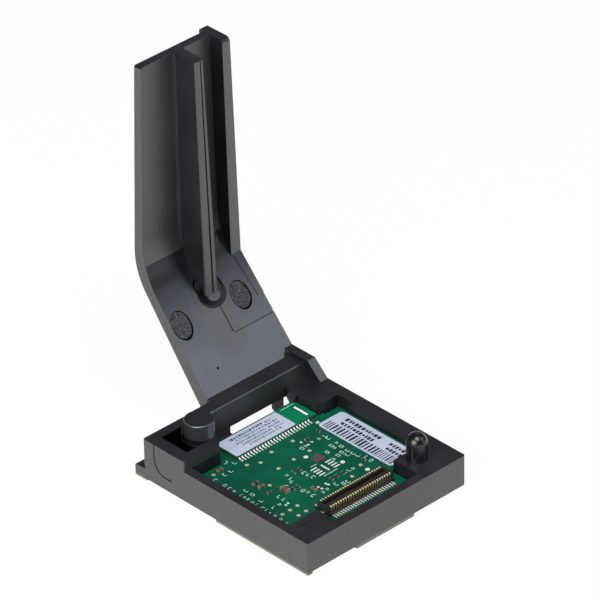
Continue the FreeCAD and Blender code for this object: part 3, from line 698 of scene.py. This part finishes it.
for (x, y), legs in traces["runs"]:
    for long, heading in legs:
        along = Vector((math.cos(math.radians(heading)), math.sin(math.radians(heading))))
        patch(work, x + along.x * long / 2, y + along.y * long / 2, boardTop, long, traces["width"],
              heading, traces["rise"])
        x, y = x + along.x * long, y + along.y * long
finishPiece("board_traces", work, traceLacquer)

# empty eight-pad footprint with its centre bar

footprint = {"left": 25.8, "right": 30.6, "first": 21.8, "pitch": 0.98, "rows": 4,
             "pad": (1.9, 0.42), "bar": (28.2, 23.3), "barSize": (0.45, 2.9)}
work = bmesh.new()
for i in range(footprint["rows"]):
    y = footprint["first"] + i * footprint["pitch"]
    patch(work, footprint["left"], y, boardTop, *footprint["pad"])
    patch(work, footprint["right"], y, boardTop, *footprint["pad"])
patch(work, *footprint["bar"], boardTop, *footprint["barSize"])
finishPiece("footprint_pads", work, brightTin)
print("pads placed")

# reference marks in white ink: short plain strokes

silk = {
    "stroke": 0.14,
    "height": 1.05,
    "width": 0.68,
    "row": [(6.2, 34.7), (6.2, 32.9), (6.2, 31.4), (6.2, 28.8), (6.2, 27.6), (6.1, 26.2), (5.8, 25.0),
            (6.0, 23.4), (6.0, 21.6), (6.0, 20.1), (5.8, 18.6), (6.0, 17.2), (6.0, 15.2), (5.8, 12.8),
            (6.2, 37.9), (8.1, 19.8), (9.9, 19.8), (12.1, 22.2), (12.1, 20.5), (16.1, 24.1),
            (18.5, 24.4), (19.5, 27.3), (19.2, 25.5), (23.1, 25.2), (23.2, 23.8), (23.4, 22.4),
            (17.8, 20.1), (18.2, 18.7), (18.1, 16.9), (38.1, 19.4), (38.0, 17.7)],
    "column": [(9.3, 38.0), (11.4, 38.1), (8.3, 29.6), (8.2, 27.3), (7.9, 24.1), (6.5, 27.2),
               (37.5, 33.0), (37.3, 31.7), (33.5, 33.3), (35.6, 33.1), (35.6, 28.9), (37.4, 28.9),
               (35.6, 27.7), (37.1, 27.0), (35.4, 25.1), (37.0, 24.7), (35.6, 23.4), (37.0, 22.9),
               (37.2, 21.5), (29.9, 33.0), (31.3, 33.1), (33.0, 27.6), (32.2, 24.4), (33.9, 24.8),
               (30.1, 18.7), (31.4, 18.6), (32.6, 18.3), (25.2, 16.5), (26.6, 15.4), (27.9, 15.3),
               (20.8, 16.2), (22.3, 16.5)],
    "corners": [(14.4, 40.0, 0), (12.9, 41.6, 90), (43.2, 40.6, 180)],
    "lines": [(26.75, 25.8, 2.0, 0.16), (27.7, 20.85, 4.5, 0.16)],
}


def strokeMark(work, x, y, turn, kind):
    # four plain figures made of strokes: hook, cup, frame and double bar
    tall, wide, line = silk["height"], silk["width"], silk["stroke"]
    strokes = {
        "hook": [(-wide / 2, 0, line, tall), (0, -tall / 2, wide, line)],
        "cup": [(-wide / 2, 0, line, tall), (0, -tall / 2, wide, line), (0, tall / 2, wide, line)],
        "frame": [(-wide / 2, 0, line, tall), (wide / 2, 0, line, tall), (0, -tall / 2, wide, line),
                  (0, tall / 2, wide, line)],
        "bars": [(-wide / 3, 0, line, tall), (wide / 3, 0, line, tall * 0.7)],
    }
    spin = Matrix.Rotation(math.radians(turn), 2)
    for left, low, across, up in strokes[kind]:
        shift = spin @ Vector((left, low))
        patch(work, x + shift.x, y + shift.y, boardTop, across, up, turn, inkRise)


draw = random.Random(7)
work = bmesh.new()
kinds = ["hook", "cup", "frame", "bars"]
for x, y in silk["row"]:
    strokeMark(work, x, y, -90, draw.choice(kinds))
for x, y in silk["column"]:
    strokeMark(work, x, y, 0, draw.choice(kinds))
for x, y, turn in silk["corners"]:
    strokeMark(work, x, y, turn, "hook")
for x, y, across, up in silk["lines"]:
    patch(work, x, y, boardTop, across, up, 0, inkRise)
finishPiece("silkscreen_marks", work, plain["silkInk"])
print("silkscreen drawn")

# antenna end of the radio module

antenna = {"z": 6.3, "bar": (40.0, 43.9), "barSize": (0.55, 4.6), "line": (38.8, 47.4),
           "lineSize": (4.4, 0.14)}
work = bmesh.new()
patch(work, *antenna["bar"], antenna["z"], *antenna["barSize"])
finishPiece("antenna_bar", work, plain["whiteInk"])
work = bmesh.new()
patch(work, *antenna["line"], antenna["z"], *antenna["lineSize"], 0, inkRise)
finishPiece("antenna_line", work, plain["silkInk"])


def dashRow(work, along, fixed, start, stop, look, tall, low=0.25):
    # short plain blocks in a row; low is the share that is lower than the others
    where = start
    while where < stop:
        long = draw.uniform(*look["dash"])
        high = tall * (draw.uniform(0.55, 0.75) if draw.random() < low else draw.uniform(0.85, 1))
        middle = where + long / 2
        if along == "x":
            patch(work, middle, fixed, look["z"], long, high, 0, inkRise)
        else:
            patch(work, fixed, middle, look["z"], high, long, 0, inkRise)
        where += long + draw.uniform(*look["gap"])


# radio label print: a darker row, then grey ones; each run is its y, start and end

radioPrint = {"z": 6.4, "dash": (0.22, 0.66), "gap": (0.18, 0.42), "tall": 0.72, "darkTall": 0.864,
              "dark": [(46.5, 18.8, 25.6), (46.6, 26.4, 29.6)],
              "rows": [(46.4, 30.4, 32.2), (45.4, 19.8, 29.6), (45.3, 30.4, 33.0),
                       (44.3, 19.2, 28.8), (44.2, 29.6, 33.4), (43.2, 20.2, 29.8),
                       (43.1, 30.6, 33.2), (42.1, 21.4, 31.6)]}
work = bmesh.new()
for y, start, stop in radioPrint["dark"]:
    dashRow(work, "x", y, start, stop, radioPrint, radioPrint["darkTall"], 0.1)
finishPiece("radio_label_print", work, plain["printInk"])
work = bmesh.new()
for y, start, stop in radioPrint["rows"]:
    dashRow(work, "x", y, start, stop, radioPrint, radioPrint["tall"])
finishPiece("radio_label_small_print", work, plain["greyInk"])

# long label: plain bars across it and blocks beside them; each run is its x, start and end

longLabel = {"z": 5.6, "front": 13.4, "back": 36.3, "barMiddle": 41.4, "barLength": 3.0,
             "bar": (0.24, 0.74), "barGap": (0.36, 0.62),
             "rows": [(44.0, 13.8, 18.2), (44.0, 23.2, 33.6), (45.9, 14.4, 19.4),
                      (45.9, 22.6, 34.6)],
             "dash": (0.42, 0.95), "gap": (0.24, 0.4), "tall": 1.3}
work = bmesh.new()
y = longLabel["front"]
while y < longLabel["back"]:
    thick = draw.uniform(*longLabel["bar"])
    patch(work, longLabel["barMiddle"], y + thick / 2, longLabel["z"], longLabel["barLength"], thick,
          0, inkRise)
    y += thick + draw.uniform(*longLabel["barGap"])
for x, start, stop in longLabel["rows"]:
    dashRow(work, "y", x, start, stop, longLabel, longLabel["tall"])
finishPiece("barcode_label_print", work, plain["printInk"])
print("label print drawn")

# floor: white to the eye and in reflections, pale for the shadow

stage = {"size": 20.0, "drop": 0.00002, "colour": (0.82, 0.82, 0.82, 1), "roughness": 0.9,
         "white": 0.95}


def whiteToEye(mat):
    path = addNode(mat, "ShaderNodeLightPath")
    seen = either(mat, path.outputs["Is Camera Ray"], path.outputs["Is Glossy Ray"])
    return either(mat, seen, path.outputs["Is Transmission Ray"])


mat, shader = newMaterial("paleFloor")
shader.inputs["Base Color"].default_value = stage["colour"]
shader.inputs["Roughness"].default_value = stage["roughness"]
glow = addNode(mat, "ShaderNodeEmission", {}, {"Color": (1, 1, 1, 1), "Strength": 1.0})
blend = addNode(mat, "ShaderNodeMixShader", {}, {0: both(mat, whiteToEye(mat), stage["white"])})
feed(mat, blend.inputs[1], shader.outputs[0])
feed(mat, blend.inputs[2], glow.outputs[0])
feed(mat, mat.node_tree.nodes["Material Output"].inputs["Surface"], blend.outputs[0])
work = bmesh.new()
bmesh.ops.create_grid(work, x_segments=1, y_segments=1, size=stage["size"],
                      matrix=Matrix.Translation((0, 0, cadBox[0][2] - stage["drop"])))
floor = addPiece("floor", work, mat)

# light: a dim even sky and four softboxes round the object

light = {
    "sky": (0.93, 0.95, 1.0, 1),
    "skyStrength": 0.12,
    "aim": (28, 45, 20),
    "boxes": {  # azimuth, elevation, distance, size, power and colour
        "leftBox": (-75, 25, 0.8, (0.6, 0.5), 6.9, (1, 1, 1)),
        "rightBox": (42, 37, 0.9, (0.45, 0.36), 1.3, (0.78, 0.87, 1.0)),
        "lowBox": (36, 8, 0.9, (0.4, 0.2), 0.5, (0.85, 0.92, 1.0)),
        "topBox": (-30, 70, 0.9, (0.5, 0.5), 7.0, (1, 1, 1)),
    },
}
world = bpy.data.worlds.new("studio")
bpy.context.scene.world = world
world.use_nodes = True
sky = world.node_tree.nodes["Background"]
sky.inputs["Color"].default_value = light["sky"]
sky.inputs["Strength"].default_value = light["skyStrength"]


def softbox(name, azimuth, elevation, distance, size, power, colour):
    # azimuth is measured from the front, towards the right
    side, lift = math.radians(azimuth), math.radians(elevation)
    towards = Vector((math.sin(side) * math.cos(lift), -math.cos(side) * math.cos(lift),
                      math.sin(lift)))
    data = bpy.data.lights.new(name, "AREA")
    data.shape = "RECTANGLE"
    data.size, data.size_y = size
    data.energy = power
    data.color = colour
    lamp = bpy.data.objects.new(name, data)
    lamp.location = spot(*light["aim"]) + towards * distance
    lamp.rotation_euler = towards.to_track_quat("Z", "Y").to_euler()
    bpy.context.scene.collection.objects.link(lamp)


for name, settings in light["boxes"].items():
    softbox(name, *settings)

# camera: where the photograph was taken from; the scale is in pixels per millimetre

shot = {"azimuth": -43.2325, "elevation": 32.737, "roll": -1.108, "distance": 1351.0,
        "scale": 4.305, "side": 1.851, "lift": -64.019, "sensor": 36.0, "pixels": 600,
        "clip": 0.05}
turn = math.radians(shot["azimuth"])
lift = math.radians(shot["elevation"])
roll = math.radians(shot["roll"])
back = Vector((math.sin(turn) * math.cos(lift), -math.cos(turn) * math.cos(lift), math.sin(lift)))
right = Vector((math.cos(turn), math.sin(turn), 0))
up = back.cross(right)
right, up = (right * math.cos(roll) + up * math.sin(roll),
             up * math.cos(roll) - right * math.sin(roll))
eye = spot(*(right * -shot["side"] + up * -shot["lift"] + back * shot["distance"]))
lens = bpy.data.cameras.new("camera")
lens.sensor_width = shot["sensor"]
lens.lens = shot["scale"] * shot["distance"] / shot["pixels"] * shot["sensor"]
lens.clip_start = shot["clip"]
camera = bpy.data.objects.new("camera", lens)
camera.matrix_world = Matrix.Translation(eye) @ Matrix((right, up, back)).transposed().to_4x4()
bpy.context.scene.collection.objects.link(camera)
bpy.context.scene.camera = camera
bpy.context.scene.view_settings.view_transform = "Standard"
print("camera and lights set")
